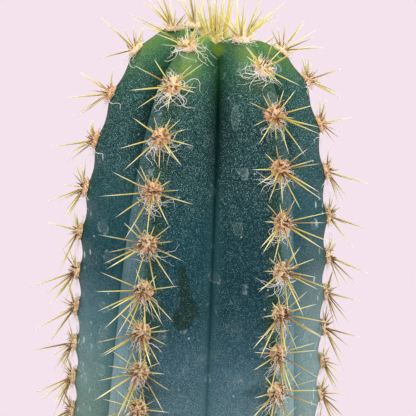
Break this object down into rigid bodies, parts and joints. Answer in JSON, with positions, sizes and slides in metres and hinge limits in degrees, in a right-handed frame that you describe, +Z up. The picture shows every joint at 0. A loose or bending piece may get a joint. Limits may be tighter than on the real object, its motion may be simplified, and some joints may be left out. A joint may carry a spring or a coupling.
{
  "type": "potted columnar cactus",
  "caption": "Young blue torch cactus: a ribbed blue-green column with felted areoles and golden spines, planted in gritty soil in a plain clay pot.",
  "frame": {"origin": "on the ground under the middle of the pot's foot", "axes": "+Z up along the pot and the stem, -Y towards the front, the side that the picture shows, +X to its right"},
  "size_m": [0.112, 0.112, 0.2494],
  "materials": {
    "pot_clay": "matte",
    "soil_mix": "matte",
    "stem_skin": "satin",
    "tuft_gold": "matte"
  },
  "bodies": {
    "root": {"pot": "pot_clay", "soil": "soil_mix", "stem": "stem_skin", "tip_tuft": "tuft_gold"}
  },
  "joints": []
}
